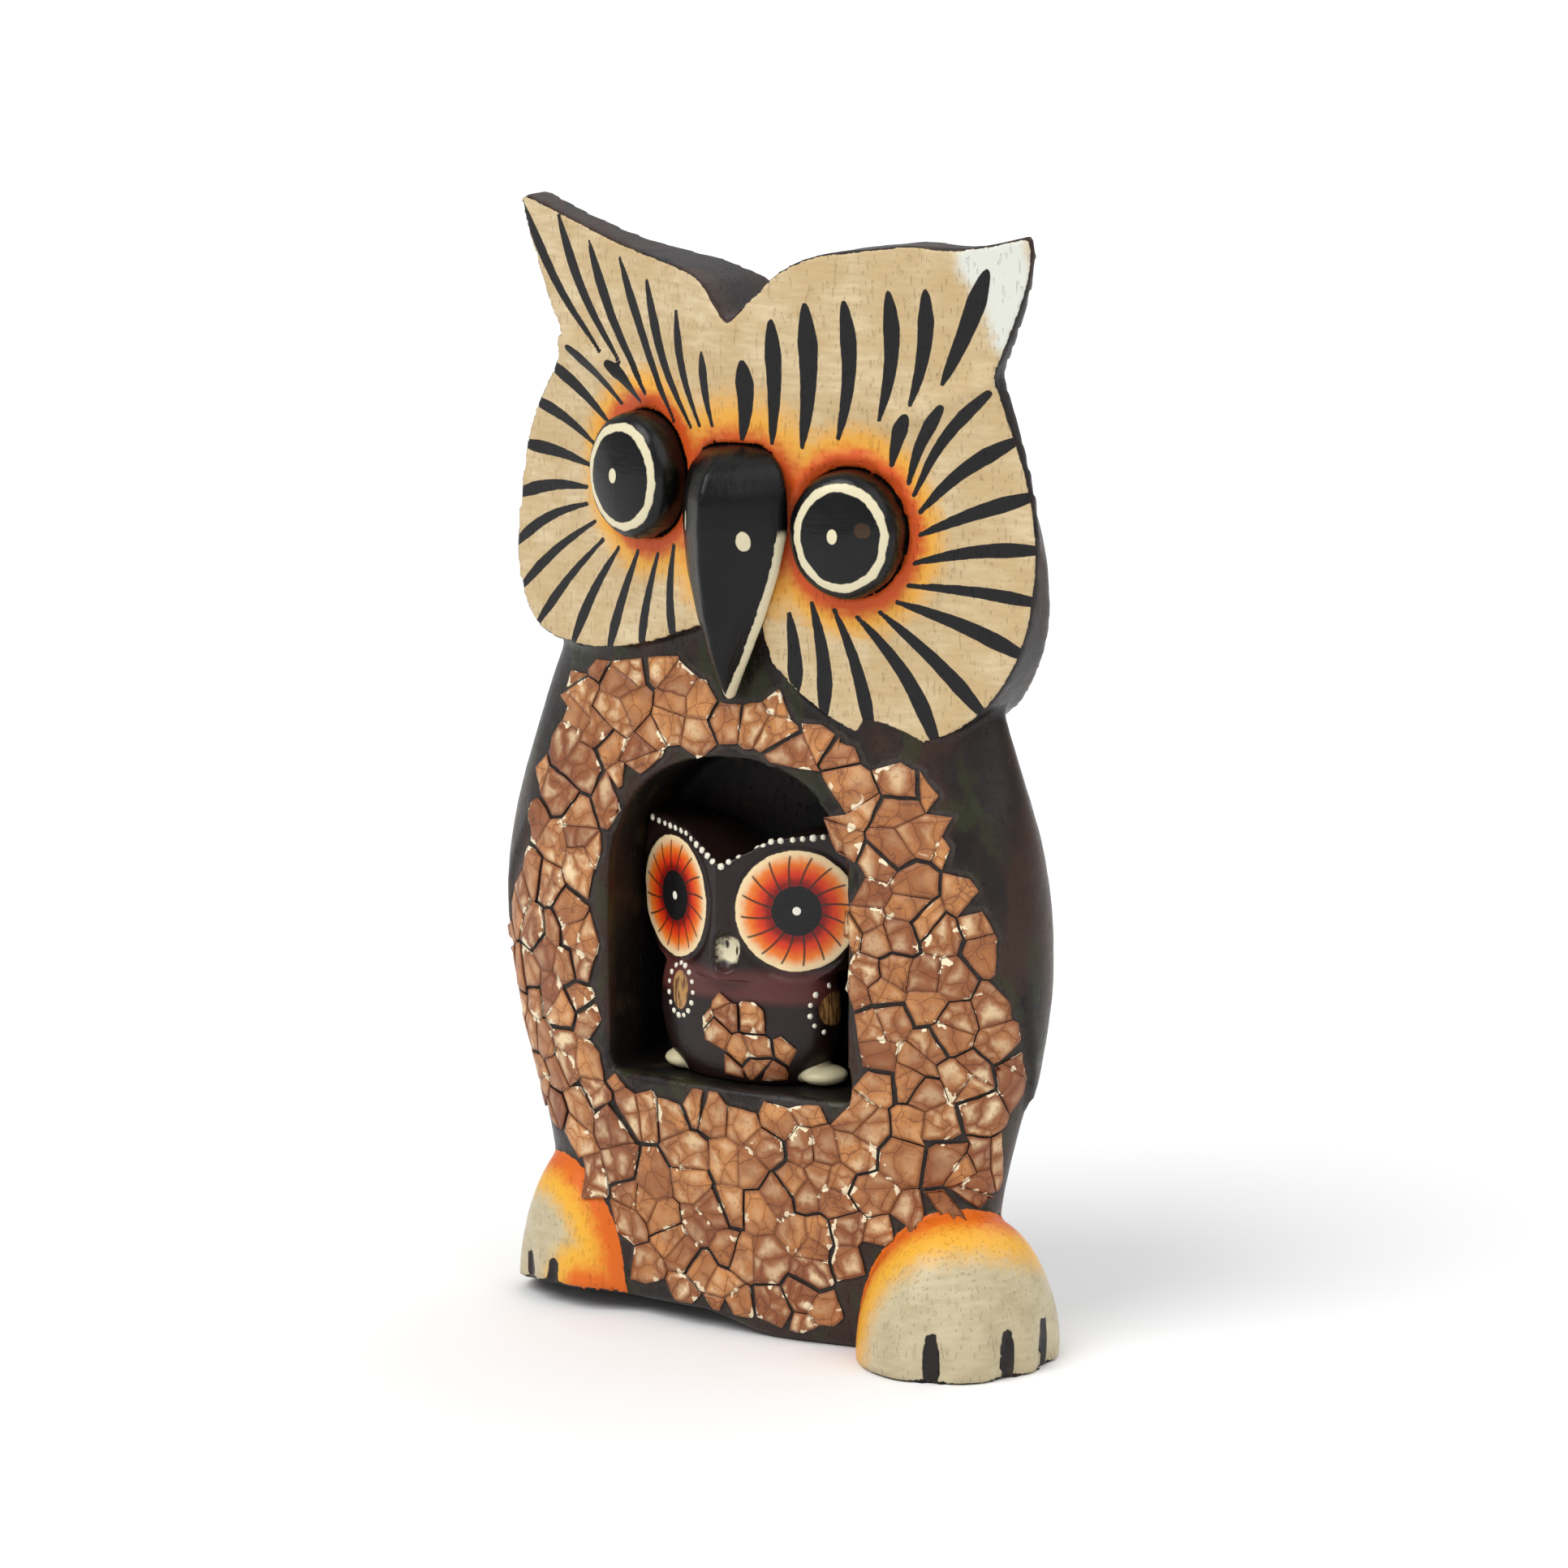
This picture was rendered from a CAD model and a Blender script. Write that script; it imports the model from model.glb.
# %% [markdown]
# # A carved owl with an eggshell front
# The ornament is one block of soft wood, carved as an owl with a mask-like face, painted, and covered on its chest
# with broken eggshell set in dark grout. A small owl stands in an arched pocket in its belly. The measured model is
# loaded first, and every piece below takes its place and size from it.

# %% Load the measured model
import math
import random

import bmesh
import bpy
import numpy as np
from mathutils import Matrix, Vector, noise
from mathutils.bvhtree import BVHTree
from mathutils.kdtree import KDTree


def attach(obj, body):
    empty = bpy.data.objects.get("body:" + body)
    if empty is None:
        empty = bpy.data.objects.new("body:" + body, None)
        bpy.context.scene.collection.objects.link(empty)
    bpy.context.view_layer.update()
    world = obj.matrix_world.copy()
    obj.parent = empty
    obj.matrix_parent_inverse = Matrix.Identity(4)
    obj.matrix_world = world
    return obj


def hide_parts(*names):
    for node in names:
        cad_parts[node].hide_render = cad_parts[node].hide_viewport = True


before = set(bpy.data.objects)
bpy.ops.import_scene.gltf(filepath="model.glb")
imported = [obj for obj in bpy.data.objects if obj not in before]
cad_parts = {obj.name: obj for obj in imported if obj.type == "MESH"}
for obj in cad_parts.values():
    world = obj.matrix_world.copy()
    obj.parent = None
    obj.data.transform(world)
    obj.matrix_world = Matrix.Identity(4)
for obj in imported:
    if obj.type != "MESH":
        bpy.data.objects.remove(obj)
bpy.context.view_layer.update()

# %% [markdown]
# ## Working sizes
# Carvers measure from the middle of the block, so the places below are in millimetres from the torso's own axis.
# One function turns them into metres in the shared frame, which keeps each number readable.

# %% Millimetres about the torso's axis
MM = 0.001
AXIS = Vector((-1.05, 5.35, 0))     # the torso's axis in the frame, in mm


def spot(x, y, z):
    """A place measured from the torso's axis in mm, as a point of the frame."""
    return (Vector((x, y, z)) + AXIS) * MM


def about_axis(points):
    """Frame points (n x 3, metres) as millimetres from the torso's axis."""
    return points / MM - np.array(AXIS)


FACE_RIDGE_Y = -19.0                # the face is two flats that meet in a ridge
FACE_SLOPE = 0.26                   # and fall back this much for each mm of width
FACE_TURN = math.atan(FACE_SLOPE)
print("face flats turned", round(math.degrees(FACE_TURN), 1), "degrees")

# %% [markdown]
# ## Stage, camera and light
# A small glossy object is easiest to read on a pale sweep under large soft lights: the lacquer shows broad pale
# reflections and the shadow on the floor stays faint. A long lens from a metre away keeps the upright sides straight.

# %% Floor and world
def new_object(name, mesh):
    thing = bpy.data.objects.new(name, mesh)
    bpy.context.scene.collection.objects.link(thing)
    return thing


FLOOR_HALF = 6.0
sweep = bmesh.new()
bmesh.ops.create_grid(sweep, x_segments=1, y_segments=1, size=FLOOR_HALF)
floor_mesh = bpy.data.meshes.new("floor")
sweep.to_mesh(floor_mesh)
sweep.free()
floor = new_object("floor", floor_mesh)
floor_paint = bpy.data.materials.new("pale floor")
floor_paint.use_nodes = True
floor_paint.node_tree.nodes["Principled BSDF"].inputs["Base Color"].default_value = (0.92, 0.92, 0.92, 1)
floor_paint.node_tree.nodes["Principled BSDF"].inputs["Roughness"].default_value = 0.9
floor_mesh.materials.append(floor_paint)

world = bpy.data.worlds.new("soft studio")
world.use_nodes = True
world.node_tree.nodes["Background"].inputs["Color"].default_value = (1, 1, 1, 1)
world.node_tree.nodes["Background"].inputs["Strength"].default_value = 0.5
bpy.context.scene.world = world
bpy.context.scene.view_settings.view_transform = "Standard"
print("floor", 2 * FLOOR_HALF, "m wide")

# %% Camera
CAMERA_TURN, CAMERA_RISE = math.radians(32), math.radians(10.9)
CAMERA_DISTANCE = 1160
LOOK_AT = spot(0, 0, 100)
camera_data = bpy.data.cameras.new("camera")
camera_data.sensor_width = 36
camera_data.lens = 149.25
camera_data.shift_x, camera_data.shift_y = 0.0031, -0.0075
camera = bpy.data.objects.new("camera", camera_data)
bpy.context.scene.collection.objects.link(camera)
backwards = Vector((math.sin(CAMERA_TURN) * math.cos(CAMERA_RISE),
                    -math.cos(CAMERA_TURN) * math.cos(CAMERA_RISE), math.sin(CAMERA_RISE)))
camera.location = LOOK_AT + backwards * CAMERA_DISTANCE * MM
camera.rotation_euler = backwards.to_track_quat("Z", "Y").to_euler()
bpy.context.scene.camera = camera
print("camera at", [round(v, 3) for v in camera.location])


# %% Soft lights
def soft_sun(name, turn, rise, strength, width):
    """A wide soft sun: it lights the whole floor evenly. turn is in degrees from straight ahead, + to the right."""
    lamp = bpy.data.lights.new(name, "SUN")
    lamp.energy = strength
    lamp.angle = math.radians(width)
    light = bpy.data.objects.new(name, lamp)
    turn, rise = math.radians(turn), math.radians(rise)
    towards = Vector((math.sin(turn) * math.cos(rise), -math.cos(turn) * math.cos(rise), math.sin(rise)))
    light.rotation_euler = towards.to_track_quat("Z", "Y").to_euler()
    bpy.context.scene.collection.objects.link(light)


soft_sun("key", -18, 50, 1.7, 40)
soft_sun("side", 75, 42, 0.7, 50)
soft_sun("back", 170, 60, 0.65, 60)
print("three soft suns")

# %% [markdown]
# ## Writing materials as sums
# Every finish here is a recipe of masks: where the stroke is, where the shell is broken. Wrapping a socket in a small
# class lets those masks be written as ordinary sums, and one method adds every other kind of node.

# %% Sockets that add up
class Value:
    """A socket that can stand in a sum: each operator adds one Math node."""

    def __init__(self, recipe, socket):
        self.recipe = recipe
        self.socket = socket

    def math(self, operation, *terms):
        return self.recipe.add("Math", {"operation": operation}, dict(enumerate(terms)))

    def __add__(self, other):
        return self.math("ADD", self, other)

    def __radd__(self, other):
        return self.math("ADD", other, self)

    def __sub__(self, other):
        return self.math("SUBTRACT", self, other)

    def __rsub__(self, other):
        return self.math("SUBTRACT", other, self)

    def __mul__(self, other):
        return self.math("MULTIPLY", self, other)

    def __rmul__(self, other):
        return self.math("MULTIPLY", other, self)

    def __truediv__(self, other):
        return self.math("DIVIDE", self, other)


class Recipe:
    """One material: nodes are added by type, and masks are sums of Values."""

    def __init__(self, name, uniform):
        self.material = bpy.data.materials.new(name)
        self.material.use_nodes = True
        self.tree = self.material.node_tree
        self.shader = self.tree.nodes["Principled BSDF"]
        for socket, amount in uniform.items():
            self.shader.inputs[socket].default_value = amount
        self.place = self.add("TexCoord", output="Object")

    def add(self, kind, settings=None, inputs=None, output=0):
        node = self.tree.nodes.new("ShaderNode" + kind)
        for name, setting in (settings or {}).items():
            setattr(node, name, setting)
        for socket, value in (inputs or {}).items():
            self.join(value, node.inputs[socket])
        return Value(self, node.outputs[output])

    def join(self, value, socket):
        if isinstance(value, Value):
            self.tree.links.new(value.socket, socket)
        else:
            socket.default_value = value

    def attribute(self, name):
        return self.add("Attribute", {"attribute_name": name}, output="Fac")

    def noise(self, size, detail=3.0, stretch=(1, 1, 1), rough=0.5):
        """Cloudy pattern from 0 to 1 whose patches are about size mm, longer where stretch is above 1."""
        scale = tuple(1 / (size * MM * s) for s in stretch)
        place = self.add("VectorMath", {"operation": "MULTIPLY"}, {0: self.place, 1: scale})
        return self.add("TexNoise", inputs={"Vector": place, "Scale": 1.0, "Detail": detail, "Roughness": rough})

    def over(self, value, edge, soft):
        """0 below the edge, 1 above it, turning smoothly across soft."""
        return self.add("MapRange", {"interpolation_type": "SMOOTHSTEP"},
                        {"Value": value, "From Min": edge - soft / 2, "From Max": edge + soft / 2})

    def mix(self, factor, first, second):
        return self.add("Mix", {"data_type": "RGBA"}, {0: factor, 6: first, 7: second}, output=2)

    def bump(self, height, depth, under=None):
        """A Bump node: height 0..1 stands for depth mm."""
        inputs = {"Height": height, "Distance": depth * MM, "Strength": 1.0}
        if under is not None:
            inputs["Normal"] = under
        return self.add("Bump", inputs=inputs)

    def finish(self, **surface):
        for socket, value in surface.items():
            self.join(value, self.shader.inputs[socket.replace("_", " ").title()])
        return self.material


def paint(red, green, blue):
    """A paint colour mixed by eye, in 0..255, as the shader wants it."""
    def linear(part):
        part /= 255
        return part / 12.92 if part <= 0.04045 else ((part + 0.055) / 1.055) ** 2.4
    return (linear(red), linear(green), linear(blue), 1.0)


print("recipe book ready")

# %% [markdown]
# ## An even skin for carved pieces
# A carved block has no flat facets or perfect edges. The measured shape is copied, its loose triangles are joined,
# and a voxel remesh covers it in small even squares. Each corner is then drawn back onto the measured surface, so
# the size stays true, and a little smoothing leaves the rounded edges that a knife and sandpaper leave.

# %% Copy, skin and snap
def joined_copy(node):
    """A measured node's shape with its loose triangles joined, as a bmesh. The node itself isn't touched."""
    shape = bmesh.new()
    shape.from_mesh(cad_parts[node].data)
    bmesh.ops.remove_doubles(shape, verts=shape.verts, dist=1e-6)
    shape.verts.ensure_lookup_table()
    shape.faces.ensure_lookup_table()
    return shape


def even_skin(shape, grain):
    """The shape covered in squares of about grain mm, as a new bmesh."""
    mesh = bpy.data.meshes.new("rough")
    shape.to_mesh(mesh)
    rough = new_object("rough", mesh)
    remesh = rough.modifiers.new("skin", "REMESH")
    remesh.mode = "VOXEL"
    remesh.voxel_size = grain * MM
    covered = bpy.data.meshes.new_from_object(rough.evaluated_get(bpy.context.evaluated_depsgraph_get()))
    skin = bmesh.new()
    skin.from_mesh(covered)
    bpy.data.objects.remove(rough)
    bpy.data.meshes.remove(mesh)
    bpy.data.meshes.remove(covered)
    return skin


def smoothed(skin, rounds, strength=0.5):
    for _ in range(rounds):
        bmesh.ops.smooth_vert(skin, verts=skin.verts, factor=strength,
                              use_axis_x=True, use_axis_y=True, use_axis_z=True)


def snapped(skin, tree):
    for vert in skin.verts:
        vert.co = tree.find_nearest(vert.co)[0]


def as_piece(name, skin, material, slot, *nodes):
    """A finished bmesh as a piece of the owl that stands for these measured nodes."""
    mesh = bpy.data.meshes.new(name)
    skin.to_mesh(mesh)
    skin.free()
    mesh.materials.append(material)
    for polygon in mesh.polygons:
        polygon.use_smooth = True
    piece = new_object(name, mesh)
    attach(piece, "root")
    if nodes:
        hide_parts(*nodes)
    print(name, len(mesh.vertices), "corners,", len(mesh.polygons), "faces")
    return piece


def places(mesh):
    """All corners of a mesh, as an n x 3 array of metres."""
    flat = np.empty(len(mesh.vertices) * 3)
    mesh.vertices.foreach_get("co", flat)
    return flat.reshape(-1, 3)


def store(mesh, name, values):
    """Writes one number for each corner where a material can read it."""
    mesh.attributes.new(name, "FLOAT", "POINT").data.foreach_set("value", np.asarray(values, dtype=np.float32))


# %% [markdown]
# ## The carved block
# The head, torso, wings, feet and the belly pocket are one piece of wood. The face gets a second, finer skin, because
# thin painted strokes end there and a paint edge is only as crisp as the squares beneath it.

# %% Skin of the big owl
BODY_GRAIN = 1.1
block = joined_copy("owl_body")
block_tree = BVHTree.FromBMesh(block)
body_skin = even_skin(block, BODY_GRAIN)
smoothed(body_skin, 2)
snapped(body_skin, block_tree)


def behind_face(point):
    """How far a frame point lies behind the face's two flats, in mm."""
    x, y, _ = point / MM - AXIS
    return (y - FACE_RIDGE_Y - FACE_SLOPE * abs(x)) * math.cos(FACE_TURN)


FACE_FOOT = 109                     # the face starts above this height
face_edges = [edge for edge in body_skin.edges
              if all(abs(behind_face(v.co)) < 0.7 and v.co.z > FACE_FOOT * MM for v in edge.verts)]
bmesh.ops.subdivide_edges(body_skin, edges=face_edges, cuts=1, use_grid_fill=True)
snapped(body_skin, block_tree)
smoothed(body_skin, 1, 0.3)
print("body skin:", len(body_skin.verts), "corners")

# %% [markdown]
# ## Where each paint goes
# The painter followed the carving: cream on the two face flats and the feet, black in the claw slits, grout under
# the shell. The measured surface already knows those areas, so each one is picked out by its shape, and every corner
# of the skin stores its distance to the edge of the area. A distance gives a clean edge between corners.

# %% Areas of the measured block
FEET = {"left": (Vector((-35, -3, 3)), Vector((16.5, 15, 28.5))),
        "right": (Vector((41.4, -6.6, 3)), Vector((17, 19.4, 23.8)))}
EYE_HALF_WIDTH, EYE_HALF_HEIGHT = 10.1, 11.3
EYES = {"left": Vector((-18.4, 0, 154.2)), "right": Vector((22.9, 0, 146.8))}
for eye in EYES.values():
    eye.y = FACE_RIDGE_Y + FACE_SLOPE * abs(eye.x)


def on_foot(point, side):
    """0 on the surface of a foot's rounded lump, below 0 inside it."""
    centre, radii = FEET[side]
    away = point / MM - AXIS - centre
    return Vector((away.x / radii.x, away.y / radii.y, away.z / radii.z)).length - 1


def is_face(face):
    return all(abs(behind_face(v.co)) < 0.05 and v.co.z > FACE_FOOT * MM for v in face.verts)


def is_foot(face):
    return any(all(abs(on_foot(v.co, side)) < 0.01 for v in face.verts) for side in FEET)


def rim_points(shape, inside, keep):
    """Points along the edge of an area of the measured block, a third of a mm apart."""
    points = []
    for edge in shape.edges:
        if len(edge.link_faces) != 2 or inside[edge.link_faces[0].index] == inside[edge.link_faces[1].index]:
            continue
        start, end = (v.co for v in edge.verts)
        steps = max(1, int((end - start).length / (0.33 * MM)))
        points += [start.lerp(end, i / steps) for i in range(steps + 1)]
    return [p for p in points if keep(p / MM - AXIS)]


def clear_of_face_pieces(p):
    """Leaves out the seats of the eyes and the beak."""
    near_eye = any((Vector((p.x, 0, p.z)) - Vector((e.x, 0, e.z))).length < 13.6 for e in EYES.values())
    near_beak = abs(p.x - 2) < 12.4 and p.z < 163.5
    return not near_eye and not near_beak


def nearest_to(points):
    tree = KDTree(len(points))
    for index, point in enumerate(points):
        tree.insert(point, index)
    tree.balance()
    return tree


face_area = [is_face(face) for face in block.faces]
foot_area = [is_foot(face) for face in block.faces]
CLAW_ANGLES = {"left": (-126, -100), "right": (-72, -25, 6)}


def faces_mosaic(p):
    """Keeps the part of a foot's edge that meets the mosaic in front, not the floor, the back or a claw slit."""
    return p.z > 12 and p.y < 1 or 1 < p.z <= 12 and abs(p.x) < 31 and p.y < -3


face_rim = nearest_to(rim_points(block, face_area, clear_of_face_pieces))
foot_rim = nearest_to(rim_points(block, foot_area, lambda p: p.z > 0.5))
mosaic_rim = nearest_to(rim_points(block, foot_area, faces_mosaic))
print("face triangles", sum(face_area), "foot triangles", sum(foot_area))

# %% Distances on the skin
body_mesh = bpy.data.meshes.new("body measures")
body_skin.to_mesh(body_mesh)
body_places = places(body_mesh)
bpy.data.meshes.remove(body_mesh)
BODY = about_axis(body_places)      # the unsculpted skin in mm: every area is measured on it


def signed(tree, area, nearest_faces):
    """Distance to an area's edge in mm, above 0 inside the area."""
    away = np.array([tree.find(p)[2] for p in map(Vector, body_places)]) / MM
    inside = np.array([area[i] for i in nearest_faces])
    return np.where(inside, away, -away)


nearest_faces = [block_tree.find_nearest(Vector(p))[2] for p in body_places]
face_inside = signed(face_rim, face_area, nearest_faces)
foot_inside = signed(foot_rim, foot_area, nearest_faces)
foot_from_mosaic = np.array([mosaic_rim.find(Vector(p))[2] for p in body_places]) / MM
foot_from_mosaic *= np.where(BODY[:, 0] < 0, 1.15, 0.8)     # the orange was rubbed further over the right foot
print("face corners", int((face_inside > 0).sum()), "foot corners", int((foot_inside > 0).sum()))

# %% [markdown]
# ## Brush strokes on the face
# Each dark stroke is one pull of a loaded brush: blunt where it is pressed down, narrow where it lifts off near the
# eye, and slightly bent. It is kept as its two ends and stored as a distance, which the paint recipe cuts off sharply.

# %% Stroke ends (outer x, z, inner x, z)
EAR_STROKES = [
    (-50.5, 199.6, -30.4, 174.8), (-41, 198, -25.4, 173.3), (-33.1, 193.9, -18.2, 168.6),
    (-25.4, 191.6, -11.9, 164.2), (-18.5, 188.2, -7.6, 163.6), (-11.4, 183.4, -5.4, 164.1),
    (-4.9, 176.7, -2.2, 164.4), (3.6, 175.7, 3.7, 162.5), (8.7, 183.1, 9, 162), (14.7, 186, 14.3, 161.5),
    (21.5, 186.8, 20.6, 163.2), (29.2, 188.8, 27.8, 166.9), (35.7, 189.3, 33.2, 169.7), (46.2, 193, 38.7, 173.5),
]
LOBE_STROKES = [
    (-37, 174, -25, 166), (-27, 172, -20, 167), (-43, 171, -28, 162), (-47, 164, -32, 158), (-49, 156, -33, 154),
    (-51, 147, -34, 150), (-52, 138, -34, 147), (-50, 131, -32, 144), (-46, 125, -30, 141), (-37, 123, -26, 140),
    (-28, 123, -21, 140), (-20, 124, -16, 140), (-12, 126, -12, 142),
    (32, 166, 30, 159), (38, 168, 33, 156), (46, 171, 34, 154), (50, 163, 35, 151), (53, 154, 35, 147),
    (54, 145, 34, 142), (55, 136, 33, 138), (52, 127, 31, 135), (45, 117, 28, 133), (37, 112, 24, 132),
    (26, 113, 20, 133), (18, 116, 16, 134), (13, 120, 12, 132),
]
EAR_HALF_WIDTHS, LOBE_HALF_WIDTHS = (1.25, 1.85), (1.25, 1.5)     # on the left and right halves of the face
LEAST_HALF_WIDTH = 0.45
LOBE_REACH = 1.4                    # the strokes below the ears run this much further out, to the rim


def pulled(t, ear):
    """Half width of a stroke from its outer end (t = 0) to where the brush lifts off (t = 1)."""
    start = np.minimum(1, (t + 0.03) / 0.3 if ear else (t + 0.1) / 0.35) ** 0.55
    return start * (0.1 + 0.9 * (1 - t) ** 0.48)


def stroke_distance(where):
    """Distance inside the nearest stroke in mm, below 0 outside all of them."""
    rng = random.Random(5)
    best = np.full(len(where), -9.0)
    t = np.linspace(0, 1, 44)
    for number, (x0, z0, x1, z1) in enumerate(EAR_STROKES + LOBE_STROKES):
        ear = number < len(EAR_STROKES)
        if not ear:
            further = 1 + LOBE_REACH / math.hypot(x1 - x0, z1 - z0)
            x0, z0 = x1 + (x0 - x1) * further, z1 + (z0 - z1) * further
        bend = rng.uniform(0.02, 0.07) * (-1 if (x0 < 0) == ear else 1)
        widths = EAR_HALF_WIDTHS if ear else LOBE_HALF_WIDTHS
        width = widths[x0 > 0] * rng.uniform(0.88, 1.12)
        bow = bend * np.sin(math.pi * t)
        line_x = x0 + (x1 - x0) * t - (z1 - z0) * bow
        line_z = z0 + (z1 - z0) * t + (x1 - x0) * bow
        for px, pz, half in zip(line_x, line_z, np.maximum(width * pulled(t, ear), LEAST_HALF_WIDTH)):
            best = np.maximum(best, half - np.hypot(where[:, 0] - px, where[:, 2] - pz))
    return best


on_the_face = face_inside > -1.5
stroke = np.full(len(BODY), -9.0)
stroke[on_the_face] = stroke_distance(BODY[on_the_face])
print("painted strokes:", len(EAR_STROKES) + len(LOBE_STROKES))

# %% [markdown]
# ## Halos, claws and a chipped ear
# Orange is rubbed on round each eye knob and fades through yellow. The claws are black slits, and the tip of one ear
# has lost its paint to the white ground below. All are again distances in millimetres.

# %% Distances for the smaller paint areas
def from_eye(where, side):
    """Distance outside an eye knob's oval, in mm along the face."""
    eye = EYES[side]
    across = (where[:, 0] - eye.x) / math.cos(FACE_TURN) / EYE_HALF_WIDTH
    up = (where[:, 2] - eye.z) / EYE_HALF_HEIGHT
    return (np.hypot(across, up) - 1) * (EYE_HALF_WIDTH + EYE_HALF_HEIGHT) / 2


halo = np.minimum(from_eye(BODY, "left"), from_eye(BODY, "right"))
bridge = np.hypot(BODY[:, 0] - 2, BODY[:, 2] - 150) / 1.6 - 5.5     # the rubbed patch behind the beak
halo = np.minimum(halo, bridge)

CLAW_TOP, CLAW_HALF_WIDTH = 8.4, 1.25


def claw_distance(where):
    """Distance inside the nearest claw slit in mm."""
    best = np.full(len(where), -9.0)
    for side, angles in CLAW_ANGLES.items():
        centre, radii = FEET[side]
        for angle in map(math.radians, angles):
            x, y = centre.x + radii.x * math.cos(angle), centre.y + radii.y * math.sin(angle)
            along = np.hypot(where[:, 0] - x, where[:, 1] - y)
            above = np.maximum(0, where[:, 2] - (CLAW_TOP - 2))
            best = np.maximum(best, CLAW_HALF_WIDTH - np.hypot(along * 0.9, above * 0.8))
    return best


CHIPPED_EAR = [(40.6, 197.4), (53, 200.5), (55, 192.5), (54, 184), (50.4, 177.6), (47.6, 179), (46, 184),
               (44.6, 188), (40.5, 193)]


def inside_outline(where, outline):
    """Distance inside a drawn outline on the face (x, z), in mm."""
    px, pz = where[:, 0], where[:, 2]
    inside = np.zeros(len(where), dtype=bool)
    away = np.full(len(where), 1e3)
    for (ax, az), (bx, bz) in zip(outline, outline[1:] + outline[:1]):
        crosses = (az > pz) != (bz > pz)
        inside ^= crosses & (px < ax + (bx - ax) * (pz - az) / ((bz - az) or 1e-9))
        t = np.clip(((px - ax) * (bx - ax) + (pz - az) * (bz - az)) / ((bx - ax) ** 2 + (bz - az) ** 2), 0, 1)
        away = np.minimum(away, np.hypot(px - ax - t * (bx - ax), pz - az - t * (bz - az)))
    return np.where(inside, away, -away)


claw = np.where(foot_inside > -3, claw_distance(BODY), -9.0)
chipped = np.where(face_inside > -1, inside_outline(BODY, CHIPPED_EAR), -9.0)
NICHE_HALF, NICHE_FLOOR, NICHE_TOP, NICHE_MOUTH_Y = 26, 45.5, 106, -16.5
in_niche = ((np.abs(BODY[:, 0]) < NICHE_HALF) & (BODY[:, 2] > NICHE_FLOOR) & (BODY[:, 2] < NICHE_TOP)
            & (BODY[:, 1] < 4))
niche = np.where(in_niche, np.clip((BODY[:, 1] - NICHE_MOUTH_Y) / 2, 0, 1), 0)
print("niche corners", int((niche > 0).sum()), "chipped corners", int((chipped > 0).sum()))

# %% [markdown]
# ## Knife and filler
# No carved surface is true. Slow waves come from the knife, a soft crease runs from each ear notch towards the eye
# where brow meets cheek, and a wavy bead of filler was pushed round the right eye when it was glued in.

# %% Sculpt the skin
KNIFE_WAVE, KNIFE_SIZE = 0.17, 11.0
RIPPLE, RIPPLE_SIZE = 0.06, 3.2
BROW_CREASES = [((47.4, 174.4), (30.2, 166.4)), ((-40.2, 175.7), (-17.8, 168.4))]
CREASE_RISE, CREASE_WIDTH = 0.9, 2.2
BEAD_RISE, BEAD_WIDTH = 0.6, 1.1
TOE_CLEFT, TOE_CLEFT_WIDTH, TOE_SWELL, TOE_TOP = 0.9, 1.7, 0.5, 13


def near_line(x, z, start, end):
    (ax, az), (bx, bz) = start, end
    t = max(0, min(1, ((x - ax) * (bx - ax) + (z - az) * (bz - az)) / ((bx - ax) ** 2 + (bz - az) ** 2)))
    return math.hypot(x - ax - t * (bx - ax), z - az - t * (bz - az))


bead_ring = from_eye(BODY, "right")
body_skin.normal_update()
for index, vert in enumerate(body_skin.verts):
    x, y, z = BODY[index]
    rise = KNIFE_WAVE * noise.noise(Vector((x, y, z)) / KNIFE_SIZE)
    rise += RIPPLE * noise.noise(Vector((x, y, z)) / RIPPLE_SIZE)
    if face_inside[index] > 0:
        for start, end in BROW_CREASES:
            rise += CREASE_RISE * math.exp(-(near_line(x, z, start, end) / CREASE_WIDTH) ** 2)
        angle = math.degrees(math.atan2(z - EYES["right"].z, x - EYES["right"].x))
        if 20 < angle < 200:
            wobble = 2.0 + 1.1 * noise.noise(Vector((angle / 14, 0, 0)))
            rise += BEAD_RISE * math.exp(-((bead_ring[index] - wobble) / BEAD_WIDTH) ** 2)
    if foot_inside[index] > 0:
        cleft = max(0.0, -claw[index])
        low = max(0.0, 1 - z / TOE_TOP)
        rise += low * (TOE_SWELL - (TOE_SWELL + TOE_CLEFT) * math.exp(-(cleft / TOE_CLEFT_WIDTH) ** 2))
    vert.co += vert.normal * rise * MM
    vert.co.z = max(vert.co.z, 0)
sculpted_tree = BVHTree.FromBMesh(body_skin)
print("sculpted", len(body_skin.verts), "corners")

# %% [markdown]
# ## Eggshell pieces
# Each piece is a curved flake about half a millimetre thick, set in grout. The measured patches hold every piece as a
# thin plate, so its outline is read from there, its edges are broken up, and rings towards its middle let it follow
# the body. Neighbours are bent by the same field of noise, so the hairline between them keeps its width.

# %% Outline of each measured plate
SHELL_THICK = 0.45
SHELL_LIFT = 0.1
FRONT_WEIGHT = 6                    # both owls are much wider than deep, so "outwards" is mostly forwards


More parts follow.
